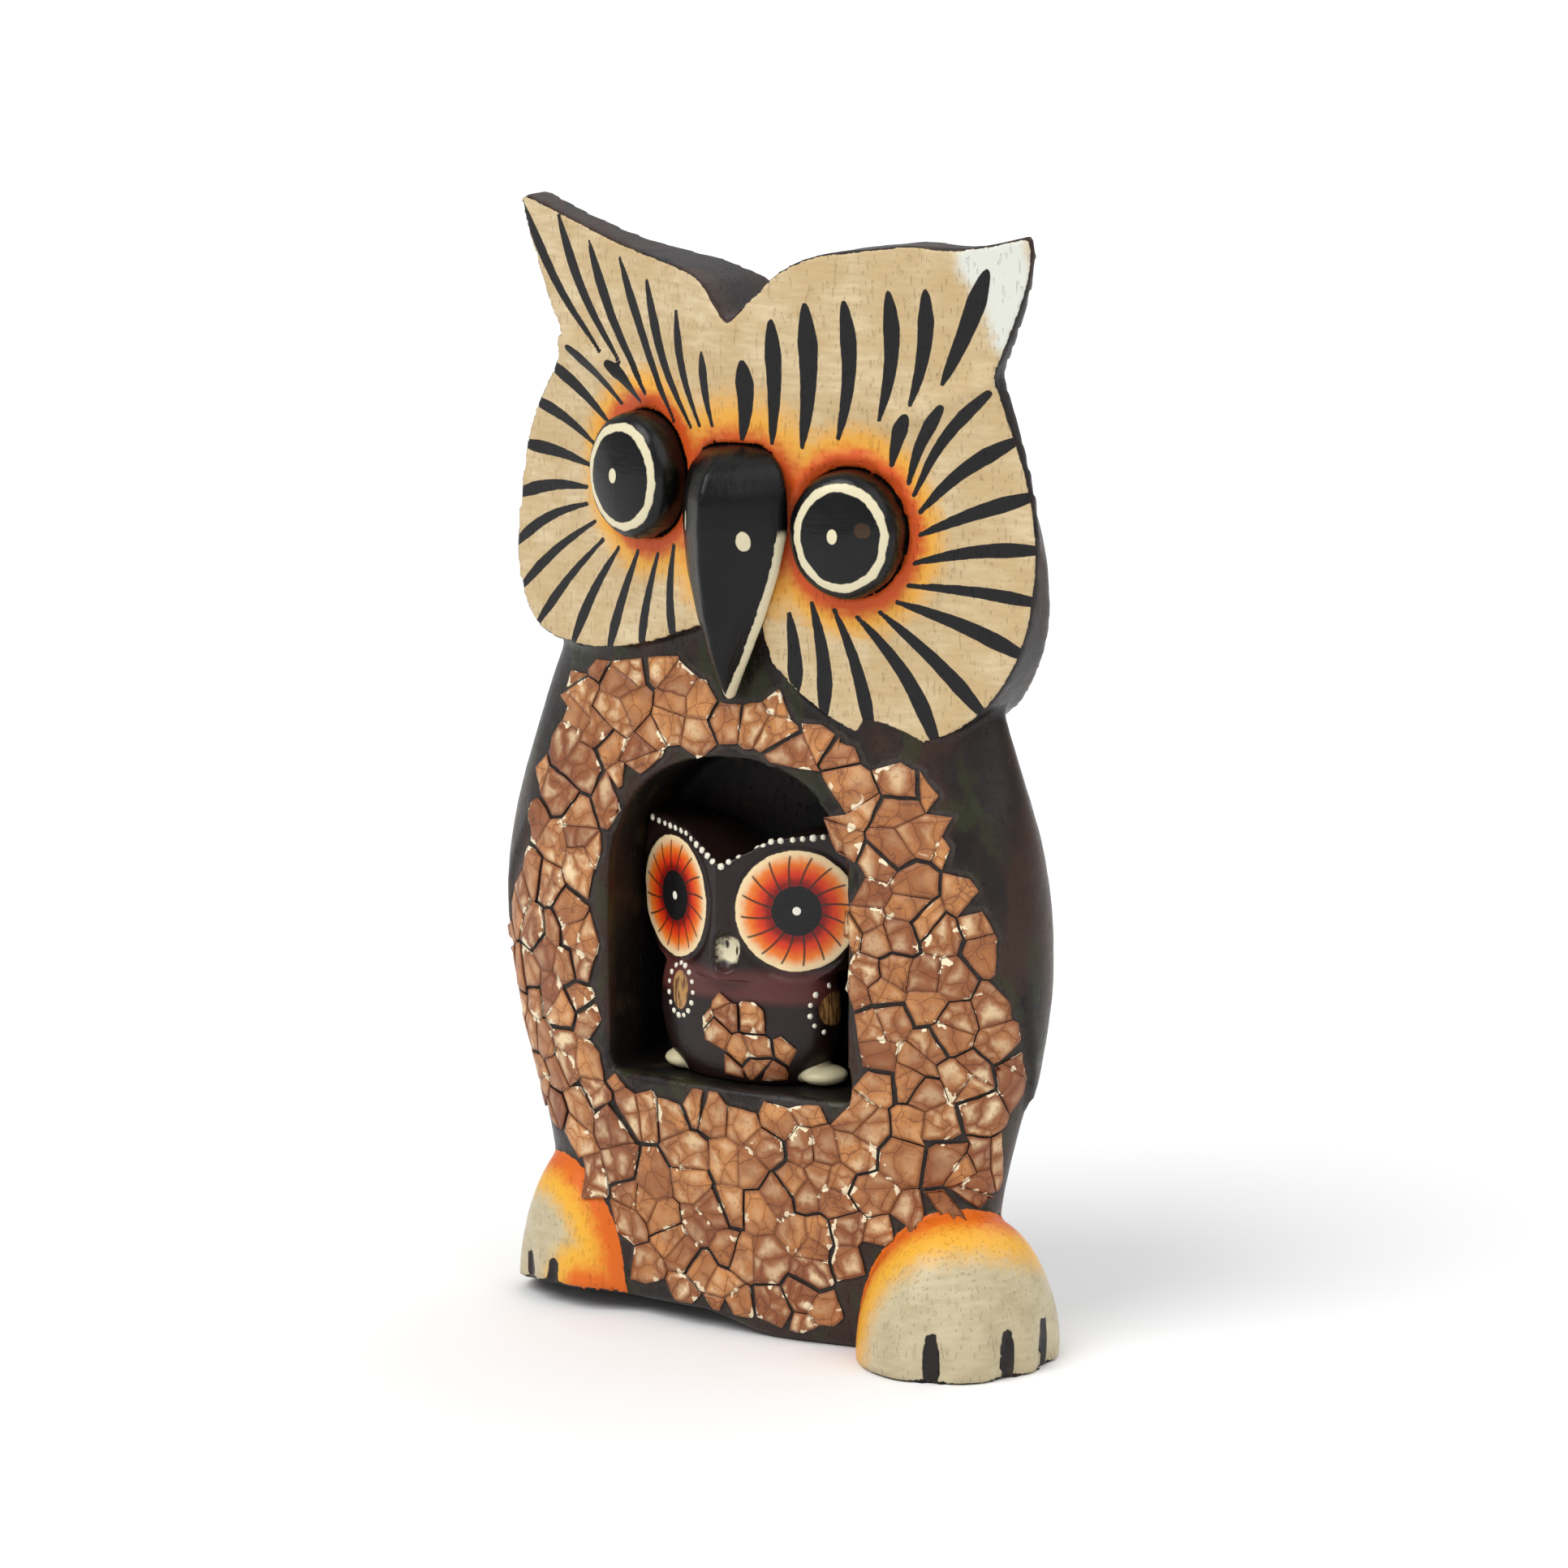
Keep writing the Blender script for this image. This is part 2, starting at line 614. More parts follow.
def plate_outlines(node, middle):
    """For each plate of a patch: (corners of its outer face, direction out of the body round a middle)."""
    plates = joined_copy(node)
    bmesh.ops.dissolve_limit(plates, angle_limit=math.radians(2), verts=plates.verts, edges=plates.edges)
    waiting = set(plates.faces)
    found = []
    while waiting:
        island, front = set(), [waiting.pop()]
        while front:
            face = front.pop()
            island.add(face)
            for edge in face.edges:
                for other in edge.link_faces:
                    if other in waiting:
                        waiting.discard(other)
                        front.append(other)
        wide = sorted(island, key=lambda f: f.calc_area())[-2:]
        away = wide[0].calc_center_median() - middle
        outer = max(wide, key=lambda f: f.normal.dot(Vector((away.x, away.y * FRONT_WEIGHT, 0))))
        found.append(([v.co.copy() for v in outer.verts], outer.normal.copy()))
    plates.free()
    return found


# %% Build one curved flake
BROKEN_EDGE_CUTS = 3
FLAKE_RINGS = (0.93, 0.72, 0.4)
WAVE_SIZE, WAVE_REACH = 1.9, 0.22
FLAKE_SPREAD = 0.07                 # each flake reaches this much into the grout, in mm
FLAKE_DOME, FLAKE_TILT = 0.09, 0.035


def flake(shape, outline, out, surface, rng):
    """Adds one piece of shell to the bmesh, following the surface."""
    edge_mm, tone, chalk = (shape.verts.layers.float[n] for n in ("edge_mm", "tone", "chalk"))
    face = shape.faces.new([shape.verts.new(corner) for corner in outline])
    bmesh.ops.subdivide_edges(shape, edges=face.edges, cuts=BROKEN_EDGE_CUTS)
    for vert in face.verts:
        drift = noise.noise_vector(vert.co / (WAVE_SIZE * MM)) * WAVE_REACH * MM
        vert.co += drift - out * drift.dot(out)
    centre = face.calc_center_median()
    radius = sum((v.co - centre).length for v in face.verts) / len(face.verts) / MM
    rim = list(face.verts)
    rim_edges = list(face.edges)
    shade, pale = rng.random(), rng.random()
    tilt = Vector((rng.uniform(-1, 1), rng.uniform(-1, 1), rng.uniform(-1, 1))) * FLAKE_TILT
    for vert in face.verts:
        vert.co += (vert.co - centre).normalized() * FLAKE_SPREAD * MM
    rings = [(rim, 1.0)]
    for size in FLAKE_RINGS:
        before = rings[-1][1]
        bmesh.ops.inset_individual(shape, faces=[face], thickness=0)
        inner = list(face.verts)
        bmesh.ops.scale(shape, vec=(size / before,) * 3, space=Matrix.Translation(-centre), verts=inner)
        rings.append((inner, size))
    middle = bmesh.ops.poke(shape, faces=[face])["verts"]
    rings.append((middle, 0.0))
    for verts, size in rings:
        for vert in verts:
            hit, _, _, depth = surface.ray_cast(vert.co + out * 3 * MM, -out)
            if hit is not None and depth < 4.6 * MM:
                vert.co = hit
            dome = FLAKE_DOME * (1 - size * size) - 0.05 * (size > 0.95)
            vert.co += out * (SHELL_LIFT + SHELL_THICK + dome + (vert.co - centre).dot(tilt) / MM) * MM
            vert[edge_mm] = (1 - size) * radius
            vert[tone] = shade
            vert[chalk] = pale
    wall = bmesh.ops.extrude_edge_only(shape, edges=rim_edges)["geom"]
    foot = [g for g in wall if isinstance(g, bmesh.types.BMVert)]
    bmesh.ops.translate(shape, verts=foot, vec=-out * (SHELL_THICK + SHELL_LIFT + 0.25) * MM)
    for vert in foot:
        vert[edge_mm], vert[tone], vert[chalk] = -1.0, shade, pale
    floor_edges = [g for g in wall if isinstance(g, bmesh.types.BMEdge) and all(v in foot for v in g.verts)]
    bmesh.ops.contextual_create(shape, geom=floor_edges)
    return rim


# %% [markdown]
# ## Eggshell finish
# Brown shell fades to cream in the middle of each cell of its fine crazing, the crazing lines are purple-brown, and
# where the surface has flaked the chalky white inside shows along an edge. One distance from the edge of the piece
# and one from the crazing lines drive all of it.

# %% Eggshell recipe
CRAZE_SIZE = 5.4
CRAZE_BEND = 1.5                    # noise pushes the crazing this far off its straight lines, in mm


def eggshell_recipe():
    shell = Recipe("eggshell", {"Roughness": 0.42, "Specular IOR Level": 0.35})
    edge = shell.attribute("edge_mm")
    tone, chalk = shell.attribute("tone"), shell.attribute("chalk")
    wander = shell.noise(2.6, 2)
    drift = (shell.noise(3.5, 3) - 0.5) * CRAZE_BEND * MM * 2
    bent = shell.add("VectorMath", {"operation": "ADD"}, {0: shell.place, 1: drift})
    bent = shell.add("VectorMath", {"operation": "MULTIPLY"}, {0: bent, 1: (1 / MM / CRAZE_SIZE,) * 3})
    craze = shell.add("TexVoronoi", {"feature": "DISTANCE_TO_EDGE"}, {"Vector": bent, "Scale": 1.0},
                      output="Distance") * CRAZE_SIZE
    line = 1 - shell.over(craze + wander * 0.1, 0.12, 0.1)
    inward = craze.math("MINIMUM", craze, edge + 0.2)
    patchy = 0.35 + shell.over(shell.noise(16, 1), 0.46, 0.2) * 0.65
    pale = shell.over(inward + (wander - 0.5) * 2.2, 1.05, 1.7) * (0.1 + chalk * 0.95) * patchy
    brown = shell.mix(tone, paint(138, 78, 42), paint(200, 136, 78))
    brown = shell.mix(shell.over(shell.noise(5, 3), 0.5, 0.3) * 0.6, brown, paint(128, 70, 40))
    colour = shell.mix(pale, brown, paint(238, 212, 168))
    colour = shell.mix(shell.over(shell.noise(0.7, 2), 0.62, 0.12) * 0.4, colour, paint(134, 78, 50))
    colour = shell.mix(line * 0.5, colour, paint(88, 48, 34))
    burnt = (1 - shell.over(edge + wander * 0.5, 0.62, 0.5)) * 0.5
    colour = shell.mix(burnt, colour, paint(120, 68, 40))
    broken = shell.over(shell.noise(5.5, 1), 0.57, 0.05)
    flaked = shell.over((shell.noise(1.9, 2) - 0.5) * 7 - edge, 0.0, 0.1) * broken
    colour = shell.mix(flaked, colour, paint(240, 222, 188))
    wall = 1 - shell.over(edge, -0.25, 0.3)
    colour = shell.mix(wall, colour, shell.mix(broken, paint(82, 50, 34), paint(238, 222, 196)))
    height = shell.noise(0.9, 3) * 0.3 - line * 0.6 - flaked * 0.5
    return shell.finish(base_color=colour, normal=shell.bump(height, 0.12),
                        roughness=0.36 + shell.noise(1.6, 2) * 0.2)


eggshell = eggshell_recipe()


# %% Lay the shell on the big owl
def lay_shell(node, surface, middle, seed):
    """Rebuilds a measured patch as curved flakes and returns the points of their edges."""
    shape = bmesh.new()
    for name in ("edge_mm", "tone", "chalk"):
        shape.verts.layers.float.new(name)
    rng = random.Random(seed)
    rims = []
    for outline, out in plate_outlines(node, middle):
        rims += [v.co.copy() for v in flake(shape, outline, out, surface, rng)]
    bmesh.ops.recalc_face_normals(shape, faces=shape.faces)
    as_piece(node.replace("shell", "flakes"), shape, eggshell, "eggshell", node)
    return rims


shell_nodes = sorted(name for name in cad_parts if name.startswith("shell_"))
shell_rims = []
for number, node in enumerate(shell_nodes):
    shell_rims += lay_shell(node, sculpted_tree, spot(0, 0, 0), 40 + number)
shell_tree = nearest_to(shell_rims)
from_shell = np.array([shell_tree.find(v.co)[2] for v in body_skin.verts]) / MM
print(len(shell_nodes), "patches of shell")

# %% [markdown]
# ## Paint on the carved block
# One recipe covers the whole block, because it is one piece of wood. The paints are laid in the painter's order: dark
# brown-black lacquer, grout, cream, orange and yellow, then the strokes. Fine pores of the wood and the
# brush's lines stay visible through every coat, so they drive the bump and the gloss.

# %% Painted wood recipe
def painted_wood_recipe():
    wood = Recipe("painted wood", {"Roughness": 0.4, "Specular IOR Level": 0.3})
    wander = wood.noise(1.5, 2) - 0.5
    brush = wood.noise(0.9, 3, stretch=(5, 5, 1))
    mottle = wood.noise(9, 4)
    pores = wood.over(wood.noise(0.55, 1, stretch=(1, 1, 4)), 0.68, 0.08)

    dark = wood.mix(mottle, paint(12, 10, 10), paint(40, 32, 30))
    dark = wood.mix(wood.over(wood.noise(14, 3, stretch=(1, 1, 2)), 0.54, 0.12) * 0.6, dark, paint(62, 38, 26))
    near_shell = 1 - wood.over(wood.attribute("from_shell"), 7.5, 6)
    olive = wood.over(wood.noise(6, 3, stretch=(1, 1, 2)), 0.56, 0.1) * near_shell
    dark = wood.mix(olive * 0.6, dark, paint(46, 50, 24))
    pocket = wood.attribute("niche")
    dark = wood.mix(pocket * 0.8, dark, wood.mix(wood.over(mottle, 0.62, 0.15), paint(6, 4, 4), paint(46, 34, 18)))

    grout = (1 - wood.over(wood.attribute("from_shell") + wander, 1.1, 0.6)) * (1 - pocket)
    dark = wood.mix(grout, dark, wood.mix(wood.noise(1.2, 3), paint(36, 30, 28), paint(72, 62, 56)))

    cream = wood.mix(wood.over(brush, 0.5, 0.7), paint(192, 167, 126), paint(217, 198, 160))
    cream = wood.mix(wood.over(mottle, 0.5, 0.25) * 0.6, cream, paint(190, 160, 112))
    cream = wood.mix(wood.over(wood.noise(0.5, 2), 0.7, 0.05) * 0.5, cream, paint(140, 100, 62))
    halo = wood.attribute("halo") + wander * 2.2 + (brush - 0.5) * 1.6
    amber = (1 - wood.over(halo, 6.6, 5.0)) * 0.9
    ember = 1 - wood.over(halo, 3.4, 3.0)
    face = wood.mix(amber, cream, paint(234, 166, 50))
    face = wood.mix(ember, face, paint(210, 84, 30))
    scrape = wood.over(wood.attribute("chipped") + wander * 2.4, 0.6, 3.0)
    face = wood.mix(scrape, face, paint(216, 218, 208))
    stroke = wood.over(wood.attribute("stroke") + wander * 0.2, 0.0, 0.14)
    face = wood.mix(stroke, face, paint(22, 20, 20))

    cloudy = wood.over(wood.noise(5, 4) * 0.5 + brush * 0.5, 0.5, 0.4)
    chalky = wood.mix(cloudy, paint(180, 166, 132), paint(200, 187, 154))
    toe = wood.attribute("foot_from_mosaic") + wander * 3.2
    foot = wood.mix(1 - wood.over(toe, 9.6, 5.5), chalky, paint(232, 172, 56))
    foot = wood.mix(1 - wood.over(toe, 4.6, 4.6), foot, paint(220, 104, 26))
    foot = wood.mix(wood.over(wood.attribute("claw") + wander * 0.3, 0.0, 0.2), foot, paint(18, 16, 16))

    on_face = wood.over(wood.attribute("face_inside") + wander * 0.4, 0.05, 0.25)
    on_foot = wood.over(wood.attribute("foot_inside") + wander * 0.7, 0.0, 0.25)
    colour = wood.mix(on_face, dark, face)
    colour = wood.mix(on_foot, colour, foot)
    relief = brush * 0.2 + wood.noise(2.2, 3) * 0.5 - pores * 0.9 + on_face * 0.5 + stroke * on_face * 0.35
    roughness = 0.3 + brush * 0.12 + grout * 0.3 + pocket * 0.2 + on_face * 0.08
    return wood.finish(base_color=colour, roughness=roughness, normal=wood.bump(relief, 0.16))


big_owl = as_piece("carved_block", body_skin, painted_wood_recipe(), "painted_wood", "owl_body")
for name, values in {"face_inside": face_inside, "foot_inside": foot_inside, "stroke": stroke, "halo": halo,
                     "foot_from_mosaic": foot_from_mosaic, "claw": claw, "chipped": chipped, "niche": niche,
                     "from_shell": from_shell}.items():
    store(big_owl.data, name, values)
block.free()

# %% [markdown]
# ## Eye knobs
# Each eye is a short oval peg with a low dome, glued into a seat. A half outline spun once round its axis gives the
# peg, and squashing it makes the oval. The painter's ring and glint are drawn in the eye's own flat measures.

# %% Turn the eyes
EYE_SEAT, EYE_STAND, EYE_DOME = 1.2, 5.6, 2.2
EYE_PROFILE = [(0, -EYE_SEAT), (0.97, -EYE_SEAT), (1.0, 0.4), (1.0, 3.0), (0.985, 4.0), (0.955, 4.9), (0.91, 5.6),
               (0.845, 6.15), (0.75, 6.6), (0.62, 7.0), (0.45, 7.35), (0.22, 7.7), (0, EYE_STAND + EYE_DOME)]
RING_FOOT = 5.2                     # the ring and the glint lie above this height on the dome
SPIN_STEPS = 72


def eye_knob(side):
    shape = bmesh.new()
    verts = [shape.verts.new((radius, 0, height)) for radius, height in EYE_PROFILE]
    edges = [shape.edges.new(pair) for pair in zip(verts, verts[1:])]
    bmesh.ops.spin(shape, geom=verts + edges, cent=(0, 0, 0), axis=(0, 0, 1), angle=math.tau,
                   steps=SPIN_STEPS, use_merge=True)
    bmesh.ops.remove_doubles(shape, verts=shape.verts, dist=1e-4)
    bmesh.ops.recalc_face_normals(shape, faces=shape.faces)
    across, up = shape.verts.layers.float.new("across"), shape.verts.layers.float.new("up")
    height = shape.verts.layers.float.new("height")
    for vert in shape.verts:
        vert[across], vert[up], vert[height] = vert.co.x, vert.co.y, vert.co.z
        vert.co.x *= EYE_HALF_WIDTH
        vert.co.y *= EYE_HALF_HEIGHT
        wave = 1 + 0.02 * noise.noise(Vector((vert.co.x, vert.co.y, 3 + len(side))) / 5)
        vert.co *= wave
    eye = EYES[side]
    turn = FACE_TURN * (1 if eye.x > 0 else -1)
    place = Matrix.Translation(spot(*eye)) @ Matrix.Rotation(turn, 4, "Z") @ Matrix.Rotation(math.pi / 2, 4, "X")
    bmesh.ops.transform(shape, matrix=place @ Matrix.Scale(MM, 4), verts=shape.verts)
    return shape


# %% Eye lacquer
GLINT_SQUEEZE = 0.7                 # the glint is an upright oval
SCAR_SIZE = 2.2                     # square of the scar's radius in mm


def eye_lacquer(side, glint, scar):
    """Black dome, cream ring, one cream glint at (across, up) in parts of the eye, olive-brown sides, a scar."""
    eye = Recipe(side + " eye lacquer", {"Roughness": 0.22, "Specular IOR Level": 0.3})
    across, up, height = eye.attribute("across"), eye.attribute("up"), eye.attribute("height")
    radius = (across * across + up * up).math("SQRT", across * across + up * up)
    wander = (eye.noise(2.4, 2) - 0.5) * 0.08
    ring = eye.over(radius + wander, 0.71, 0.02) * (1 - eye.over(radius + wander, 0.845, 0.02))
    ring = ring * eye.over(height, RING_FOOT, 0.2)
    dot_x, dot_y = (across - glint[0]) * EYE_HALF_WIDTH, (up - glint[1]) * EYE_HALF_HEIGHT * GLINT_SQUEEZE
    far = dot_x * dot_x + dot_y * dot_y
    dot = (1 - eye.over(far + wander, 0.85, 0.2)) * eye.over(height, RING_FOOT, 0.2)
    side_mask = 1 - eye.over(height, RING_FOOT - 0.6, 0.8)
    black = eye.mix(eye.noise(3, 3), paint(5, 5, 6), paint(18, 17, 18))
    sides = eye.mix(eye.over(eye.noise(5, 3), 0.55, 0.2), paint(9, 9, 9), paint(32, 32, 20))
    colour = eye.mix(side_mask, black, sides)
    colour = eye.mix(ring.math("MAXIMUM", ring, dot), colour, paint(222, 212, 178))
    relief = eye.noise(0.8, 3, stretch=(5, 5, 1)) * 0.4 + ring * 0.6 + eye.noise(3, 2) * 0.5
    if scar:
        scar_x, scar_y = (across - scar[0]) * EYE_HALF_WIDTH, (up - scar[1]) * EYE_HALF_HEIGHT
        scarred = 1 - eye.over(scar_x * scar_x + scar_y * scar_y + wander * 45, SCAR_SIZE, 0.5)
        colour = eye.mix(scarred, colour, paint(60, 40, 22))
        relief = relief - scarred * 1.5
    return eye.finish(base_color=colour, normal=eye.bump(relief, 0.14), roughness=0.18 + eye.noise(2, 2) * 0.16)


GLINTS = {"left": (-0.08, 0.02), "right": (-0.115, 0.03)}
SCARS = {"left": None, "right": (0.41, 0.14)}
for side in EYES:
    lacquer = eye_lacquer(side, GLINTS[side], SCARS[side])
    as_piece(side + "_eye_knob", eye_knob(side), lacquer, "black_lacquer", side + "_eye")

# %% [markdown]
# ## Beak
# The beak is a separate wedge glued over the ridge. Its measured facets are skinned finely and smoothed, which leaves
# one soft ridge down the middle. A cream line follows both lower edges and two cream ovals mark the nostrils.

# %% Skin and measure the beak
BEAK_GRAIN, BEAK_CROWN_Z, BEAK_CROWN_ROUNDS = 0.5, 126, 12
BEAK_CROWN_X, BEAK_HALF_WIDTH = 2.6, 10.6
wedge = joined_copy("beak")
wedge_tree = BVHTree.FromBMesh(wedge)
beak_skin = even_skin(wedge, BEAK_GRAIN)
smoothed(beak_skin, 2)
snapped(beak_skin, wedge_tree)
smoothed(beak_skin, 5)
for _ in range(BEAK_CROWN_ROUNDS):
    crown = [v for v in beak_skin.verts if v.co.z > BEAK_CROWN_Z * MM]
    bmesh.ops.smooth_vert(beak_skin, verts=crown, factor=0.5, use_axis_x=True, use_axis_y=True, use_axis_z=True)
wedge.free()
crown_middle = spot(BEAK_CROWN_X, 0, 0)     # smoothing draws the flanks in, so they are pushed back out
spread = BEAK_HALF_WIDTH * MM / max(abs(v.co.x - crown_middle.x) for v in beak_skin.verts)
bmesh.ops.scale(beak_skin, vec=(spread, 1, 1), space=Matrix.Translation(-crown_middle), verts=beak_skin.verts)

beak_mm = np.array([(v.co / MM - AXIS)[:] for v in beak_skin.verts])
levels = np.round(beak_mm[:, 2]).astype(int)        # one level for each mm of height
heights = sorted(set(levels))
left_edge = np.interp(beak_mm[:, 2], heights, [beak_mm[levels == h, 0].min() for h in heights])
right_edge = np.interp(beak_mm[:, 2], heights, [beak_mm[levels == h, 0].max() for h in heights])
beak_margin = np.minimum(beak_mm[:, 0] - left_edge, right_edge - beak_mm[:, 0])
print("beak pushed out by", round(spread, 3))


# %% Beak lacquer
def beak_lacquer():
    beak = Recipe("beak lacquer", {"Roughness": 0.25, "Specular IOR Level": 0.25})
    wander = beak.noise(1.6, 2) - 0.5
    low = 1 - beak.over(beak.attribute("height_mm") + wander, 146.5, 2)
    line = (1 - beak.over(beak.attribute("margin") + wander * 0.5, 0.85, 0.14)) * low
    nostril = beak.over(beak.attribute("nostril") + wander * 0.2, 0.0, 0.12)
    black = beak.mix(beak.noise(5, 3, stretch=(1, 1, 3)), paint(4, 4, 5), paint(16, 15, 16))
    colour = beak.mix(line.math("MAXIMUM", line, nostril), black, paint(222, 212, 178))
    relief = beak.noise(0.6, 3, stretch=(1, 1, 9)) * 0.6 + line * 0.5 + nostril * 0.5
    return beak.finish(base_color=colour, normal=beak.bump(relief, 0.14),
                       roughness=0.2 + beak.noise(1.4, 2, stretch=(1, 1, 5)) * 0.18)


NOSTRILS = [(-3.6, 148.4), (8.4, 145.6)]
NOSTRIL_HALF_WIDTH, NOSTRIL_HALF_HEIGHT = 0.85, 1.75
nostril = np.full(len(beak_mm), -9.0)
for x, z in NOSTRILS:
    oval = np.hypot((beak_mm[:, 0] - x) / NOSTRIL_HALF_WIDTH, (beak_mm[:, 2] - z) / NOSTRIL_HALF_HEIGHT)
    nostril = np.maximum(nostril, (1 - oval) * NOSTRIL_HALF_WIDTH)
beak_piece = as_piece("beak_wedge", beak_skin, beak_lacquer(), "black_lacquer", "beak")
for name, values in {"margin": beak_margin, "height_mm": beak_mm[:, 2], "nostril": nostril}.items():
    store(beak_piece.data, name, values)

# %% [markdown]
# ## The small owl
# The small owl is carved from its own block, with a V-shaped face, and glued into the pocket. Its eyes are flat
# painted discs. Each disc's own flat measures are stored, so its rings and thin rays stay crisp at any distance.

# %% Skin of the small owl
BABY_X, BABY_GRAIN = -1.4, 0.42
DISC_X, DISC_Z, DISC_RADIUS = 12.8, 78.2, 10.9
BABY_SLOPE = 0.516
DISC_STRETCH = math.hypot(1, BABY_SLOPE)
little = joined_copy("baby_owl")
little_tree = BVHTree.FromBMesh(little)
baby_skin = even_skin(little, BABY_GRAIN)
smoothed(baby_skin, 2)
snapped(baby_skin, little_tree)
smoothed(baby_skin, 2)
little.free()

baby_mm = np.array([(v.co / MM - AXIS)[:] for v in baby_skin.verts]) - np.array([BABY_X, 0, 0])
side = np.where(baby_mm[:, 0] < 0, -1.0, 1.0)
disc_u = (baby_mm[:, 0] - side * DISC_X) * DISC_STRETCH
disc_v = baby_mm[:, 2] - DISC_Z
BABY_RIDGE_Y = -19.0
behind = baby_mm[:, 1] - BABY_RIDGE_Y - BABY_SLOPE * np.abs(baby_mm[:, 0])
disc_inside = np.where(behind < 1.6, DISC_RADIUS - np.hypot(disc_u, disc_v), -9.0)
baby_skin.normal_update()
GROOVE = 0.4
for index, vert in enumerate(baby_skin.verts):
    groove = GROOVE * math.exp(-((disc_inside[index] + 0.9) / 0.7) ** 2)
    carve = 0.1 * noise.noise(Vector(baby_mm[index]) / 4)
    vert.co += vert.normal * (carve - groove) * MM
baby_tree = BVHTree.FromBMesh(baby_skin)
print("small owl skin", len(baby_skin.verts), "corners")

# %% Small owl's measures
WING_OVALS = [(-10.2, 61.7), (18.6, 60.4)]
OVAL_HALF_WIDTH, OVAL_HALF_HEIGHT = 2.0, 3.5
oval_inside = np.full(len(baby_mm), -9.0)
for x, z in WING_OVALS:
    reach = np.hypot((baby_mm[:, 0] - x) / OVAL_HALF_WIDTH, (baby_mm[:, 2] - z) / OVAL_HALF_HEIGHT)
    oval_inside = np.maximum(oval_inside, np.where(baby_mm[:, 1] < 0, (1 - reach) * OVAL_HALF_WIDTH, -9.0))
BABY_BEAK = (1.6, -18.8, 70.6)
beak_reach = np.linalg.norm((baby_mm - np.array(BABY_BEAK)) / np.array((2.5, 2.9, 3.3)), axis=1)
beak_inside = (1.05 - beak_reach) * 2.5
BEAK_SLITS = [(0.7, 71.6, 0.35), (2.7, 70.6, 0.35)]
beak_slit = np.full(len(baby_mm), -9.0)
for x, z, half in BEAK_SLITS:
    reach = np.hypot(baby_mm[:, 0] - x, (baby_mm[:, 2] - z) / 2.6)
    beak_slit = np.maximum(beak_slit, np.where(beak_inside > 0, half - reach, -9.0))
feet_reach = np.minimum(*[np.linalg.norm((baby_mm - np.array((x, y, 47.9))) / np.array((4.4, 4.4, 2.1)), axis=1)
                          for x, y in ((-12.5, -8.6), (15.4, -7.4))])
feet_inside = (1.1 - feet_reach) * 3
print("disc corners", int((disc_inside > 0).sum()), "beak corners", int((beak_inside > 0).sum()))


# %% Small owl recipe
RAYS = 16
PUPIL = 4.5


def small_owl_recipe():
    baby = Recipe("small owl paint", {"Roughness": 0.35, "Specular IOR Level": 0.35})
    wander = baby.noise(1.2, 2) - 0.5
    height = baby.attribute("height_mm")
    dark = baby.mix(baby.noise(5, 3), paint(14, 8, 8), paint(40, 22, 19))
    band = baby.over(height, 61.5, 2) * (1 - baby.over(height, 67, 3))
    dark = baby.mix(band * 0.7, dark, paint(98, 50, 46))
    u, v = baby.attribute("disc_u"), baby.attribute("disc_v")
    radius = u.math("SQRT", u * u + v * v)
    mix_at = radius + wander * 1.2
    disc = baby.mix(baby.over(mix_at, 9.5, 2.2), paint(234, 124, 40), paint(236, 210, 164))
    disc = baby.mix(1 - baby.over(mix_at, 7.8, 2.4), disc, paint(214, 56, 16))
    disc = baby.mix(1 - baby.over(mix_at, 5.9, 1.9), disc, paint(128, 12, 10))
    turn = u.math("ARCTAN2", v, u) * (RAYS / 2) + radius * 0.22
    ray = 1 - baby.over(turn.math("ABSOLUTE", turn.math("SINE", turn)) * radius / (RAYS / 2), 0.2, 0.1)
    ray = ray * (1 - baby.over(radius, 10.0, 0.4))
    disc = baby.mix(ray * 0.85, disc, paint(48, 36, 22))
    disc = baby.mix(1 - baby.over(radius + wander * 0.4, PUPIL, 0.2), disc, paint(16, 15, 16))
    disc = baby.mix(1 - baby.over(radius, 0.75, 0.15), disc, paint(240, 236, 220))
    colour = baby.mix(baby.over(baby.attribute("disc_inside") + wander * 0.4, 0.0, 0.2), dark, disc)
    grain = baby.mix(baby.over(baby.noise(0.5, 2, stretch=(1, 1, 6)), 0.5, 0.15), paint(176, 132, 78), paint(96, 62, 34))
    colour = baby.mix(baby.over(baby.attribute("oval_inside"), 0.0, 0.2), colour, grain)
    colour = baby.mix(baby.over(baby.attribute("beak_inside") + wander * 0.3, 0.0, 0.2), colour, paint(228, 218, 186))
    colour = baby.mix(baby.over(baby.attribute("beak_slit") + wander * 0.2, 0.0, 0.2), colour, paint(44, 36, 26))
    colour = baby.mix(baby.over(baby.attribute("feet_inside"), 0.0, 0.3), colour, paint(206, 196, 160))
    relief = baby.noise(0.6, 3, stretch=(3, 3, 1)) * 0.5 + baby.noise(2, 2) * 0.4
    return baby.finish(base_color=colour, normal=baby.bump(relief, 0.12), roughness=0.28 + baby.noise(1.5, 2) * 0.16)


small_owl = as_piece("small_owl", baby_skin, small_owl_recipe(), "dark_painted_wood", "baby_owl")
for name, values in {"disc_u": disc_u, "disc_v": disc_v, "disc_inside": disc_inside, "oval_inside": oval_inside,
                     "beak_inside": beak_inside, "beak_slit": beak_slit, "feet_inside": feet_inside,
                     "height_mm": baby_mm[:, 2]}.items():
    store(small_owl.data, name, values)
lay_shell("baby_shell", baby_tree, spot(BABY_X, -2, 0), 77)

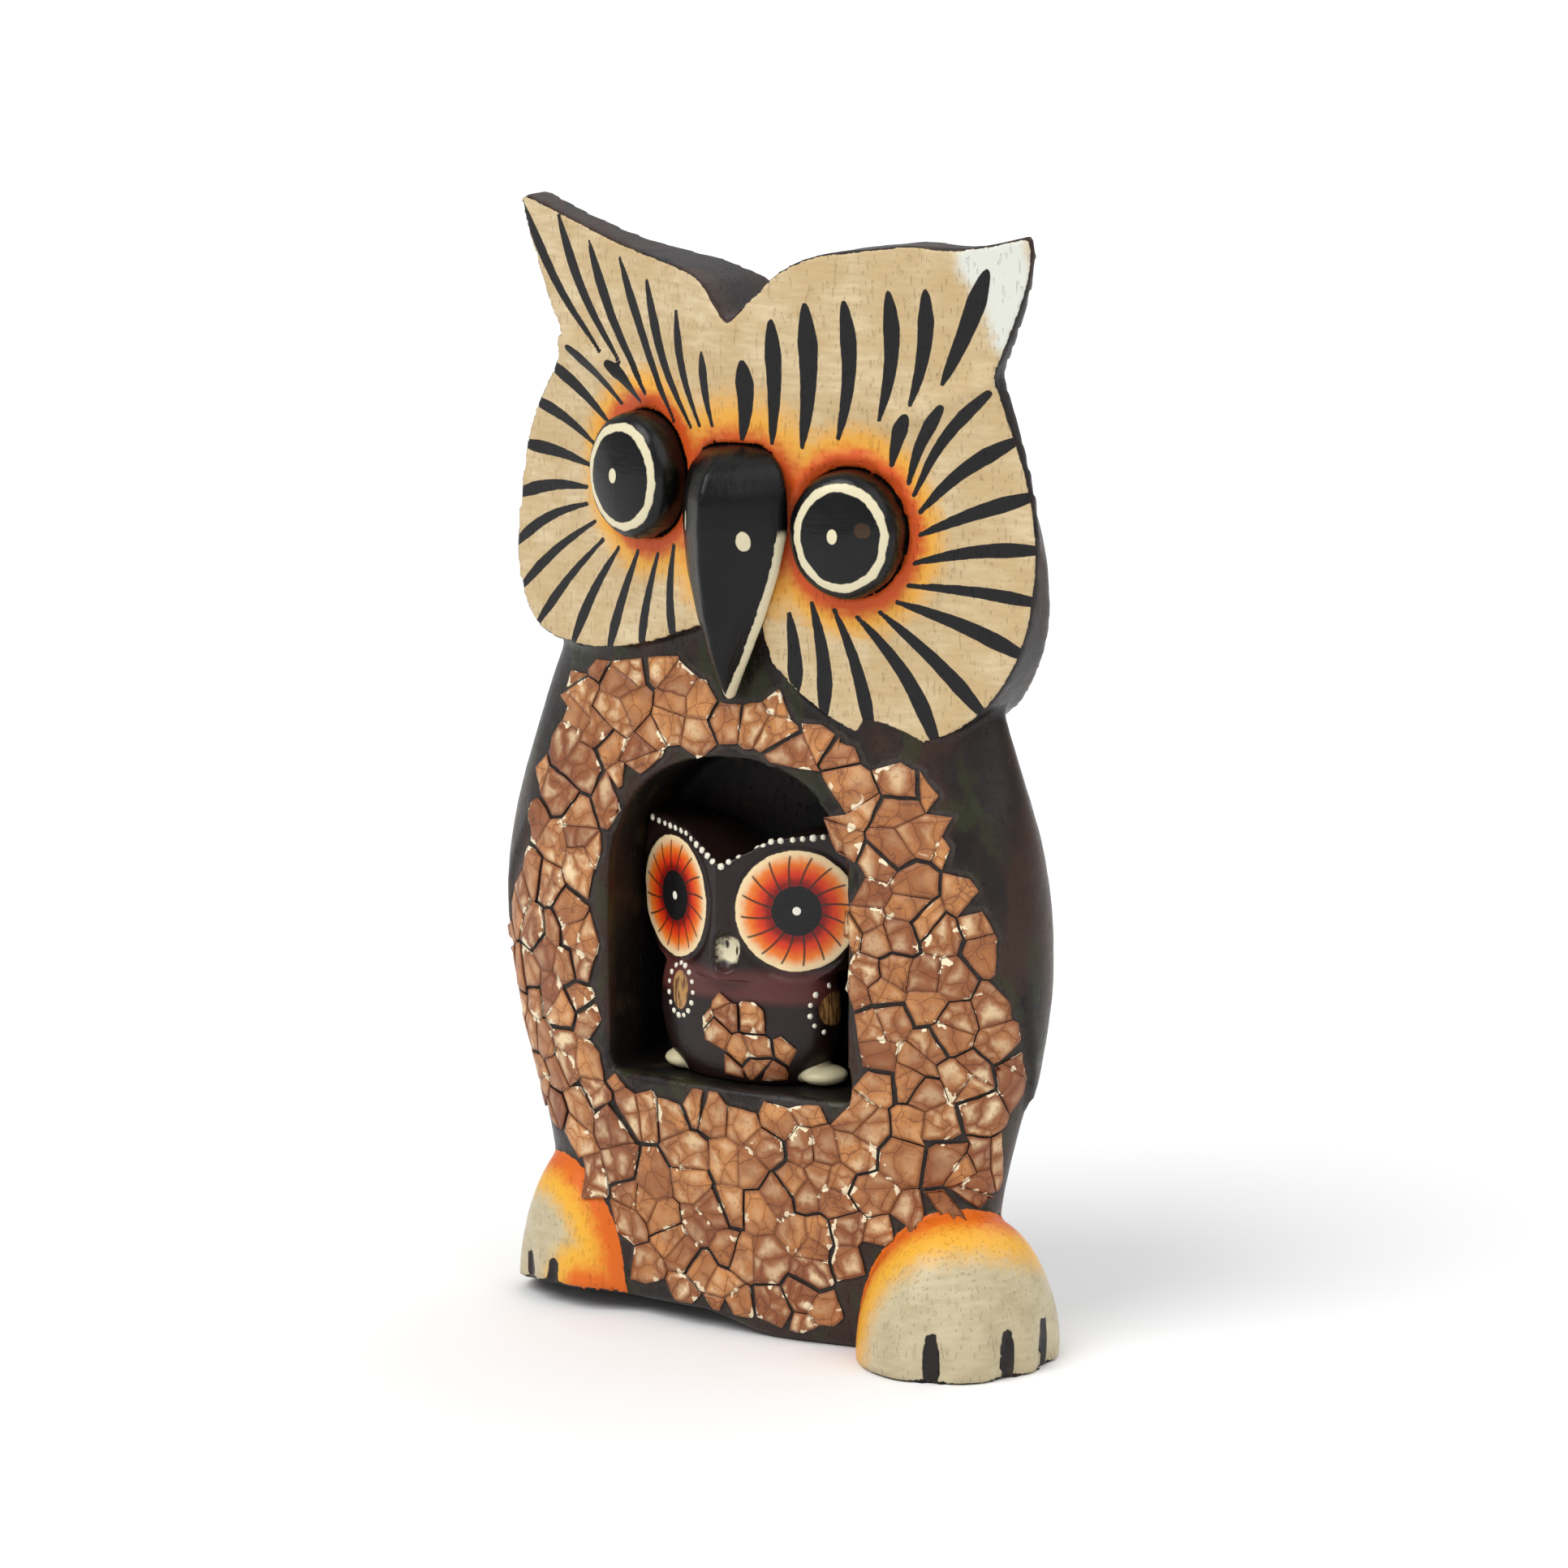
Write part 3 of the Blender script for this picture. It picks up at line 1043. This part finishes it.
# %% [markdown]
# ## Beads of white paint
# The small owl's brow and wings are edged with dots set down with the end of a stick. Each stands up as a low bead,
# so each is a squashed ball laid on the surface it touches, with only a few faces because there are so many.

# %% Set the dots
DOT_RADIUS, DOT_HEIGHT, DOT_PITCH = 0.68, 0.36, 1.72
OVAL_MARGIN = 1.2
BROW_LINE = [(-21.8, 91.4), (-17.6, 90.9), (-9.3, 90.2), (0.8, 86.0), (4.7, 88.6), (8.7, 90.6), (17, 91.6),
             (21, 91.6)]


def dot(shape, x, z, size):
    """One bead on the front of the small owl at x from its middle and height z."""
    start = spot(BABY_X + x, -40, z)
    hit, normal, _, _ = baby_tree.ray_cast(start, Vector((0, 1, 0)))
    if hit is None:
        return
    lie = normal.to_track_quat("Z", "Y").to_matrix().to_4x4()
    ball = bmesh.ops.create_icosphere(shape, subdivisions=1, radius=size * DOT_RADIUS * MM)["verts"]
    flatten = Matrix.Diagonal((1, 1, DOT_HEIGHT / DOT_RADIUS, 1))
    bmesh.ops.transform(shape, matrix=Matrix.Translation(hit) @ lie @ flatten, verts=ball)


beads = bmesh.new()
rng = random.Random(9)
for (ax, az), (bx, bz) in zip(BROW_LINE, BROW_LINE[1:]):
    steps = max(1, round(math.hypot(bx - ax, bz - az) / DOT_PITCH))
    for step in range(steps):
        t = step / steps
        dot(beads, ax + (bx - ax) * t + rng.uniform(-0.12, 0.12), az + (bz - az) * t, rng.uniform(0.85, 1.15))
DOTS_ROUND_OVAL = 15
for x, z in WING_OVALS:
    for step in range(DOTS_ROUND_OVAL):
        angle = math.tau * step / DOTS_ROUND_OVAL
        dot(beads, x + (OVAL_HALF_WIDTH + OVAL_MARGIN) * math.cos(angle),
            z + (OVAL_HALF_HEIGHT + OVAL_MARGIN) * math.sin(angle), rng.uniform(0.75, 1.0))


def bead_paint():
    white = Recipe("white bead paint", {"Roughness": 0.4})
    colour = white.mix(white.noise(0.8, 2), paint(246, 242, 228), paint(222, 212, 186))
    return white.finish(base_color=colour, normal=white.bump(white.noise(0.5, 2), 0.05))


as_piece("brow_and_wing_beads", beads, bead_paint(), "dark_painted_wood")
